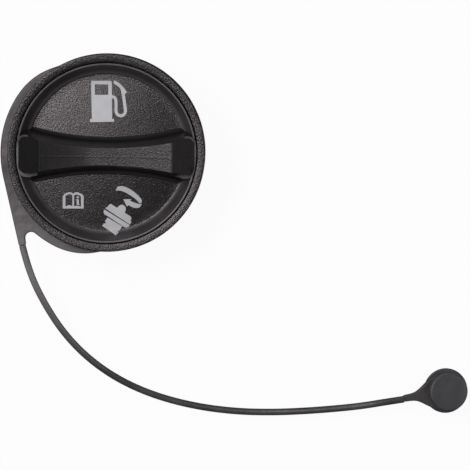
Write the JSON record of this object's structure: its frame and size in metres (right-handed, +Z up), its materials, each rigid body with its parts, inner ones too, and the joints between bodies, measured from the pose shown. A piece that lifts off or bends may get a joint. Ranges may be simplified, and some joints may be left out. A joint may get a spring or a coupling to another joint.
{
  "type": "fuel filler cap",
  "caption": "Round black screw-on fuel filler cap with a grip bar across its dished face, a sealed threaded stem with valves, and a loose tether ending in a push-in anchor plug.",
  "frame": {"origin": "stem axis at the lower end of the stem, on the surface that the cap stands on", "axes": "+Z up the stem axis towards the grip bar; +X along the grip bar; -Y the side on which the tether is laid out"},
  "size_m": [0.1914, 0.1517, 0.0506],
  "materials": {
    "grained_cover": "black moulded plastic with a fine leather grain, semi-matt",
    "closure_plastic": "smooth black moulded plastic",
    "valve_plastic": "natural off-white acetal",
    "pawl_plastic": "natural acetal",
    "tether_rubber": "smooth dark grey thermoplastic rubber, satin",
    "plug_plastic": "smooth dark grey plastic, matt",
    "seal_rubber": "black nitrile rubber, satin",
    "spring_steel": "bright drawn spring wire"
  },
  "bodies": {
    "closure": {"closure_stem": "closure_plastic", "neck_seal": "seal_rubber", "ratchet_ring": "pawl_plastic", "slip_washer": "pawl_plastic", "valve_housing": "valve_plastic", "housing_seal": "seal_rubber", "spring_retainer": "valve_plastic", "pressure_spring": "spring_steel", "splash_cap": "closure_plastic"},
    "cover": {"grip_cover": "grained_cover", "outer_shell": "grained_cover"},
    "tether": {"tether_ring": "tether_rubber", "tether_strand": "tether_rubber", "tether_eye": "tether_rubber"},
    "anchor": {"anchor_plug": "plug_plastic"},
    "pressure": {"pressure_plate": "valve_plastic", "valve_seal": "seal_rubber", "vacuum_spring": "spring_steel"},
    "vacuum": {"vacuum_valve": "valve_plastic", "vacuum_clip": "spring_steel"}
  },
  "joints": [
    {"name": "cover_ratchet", "type": "hinge", "parent": "closure", "child": "cover", "pos_m": [0, 0, 0.03], "axis": [0, 0, 1], "range_deg": [-360, 0], "deforming": ["ratchet_ring"]},
    {"name": "tether_swivel", "type": "hinge", "parent": "closure", "child": "tether", "pos_m": [0, 0, 0.0258], "axis": [0, 0, 1], "continuous": true},
    {"name": "plug_swivel", "type": "hinge", "parent": "tether", "child": "anchor", "pos_m": [0.1394, -0.1003, 0.00848], "axis": [0.2057, 0.03, 0.9781], "continuous": true},
    {"name": "pressure_lift", "type": "slide", "parent": "closure", "child": "pressure", "axis": [0, 0, 1], "range_m": [0, 0.002], "stiffness_N_per_m": 1200, "springref_m": -0.004, "deforming": ["pressure_spring"]},
    {"name": "vacuum_drop", "type": "slide", "parent": "pressure", "child": "vacuum", "axis": [0, 0, -1], "range_m": [0, 0.0012], "stiffness_N_per_m": 60, "springref_m": -0.003, "deforming": ["vacuum_spring"]}
  ]
}
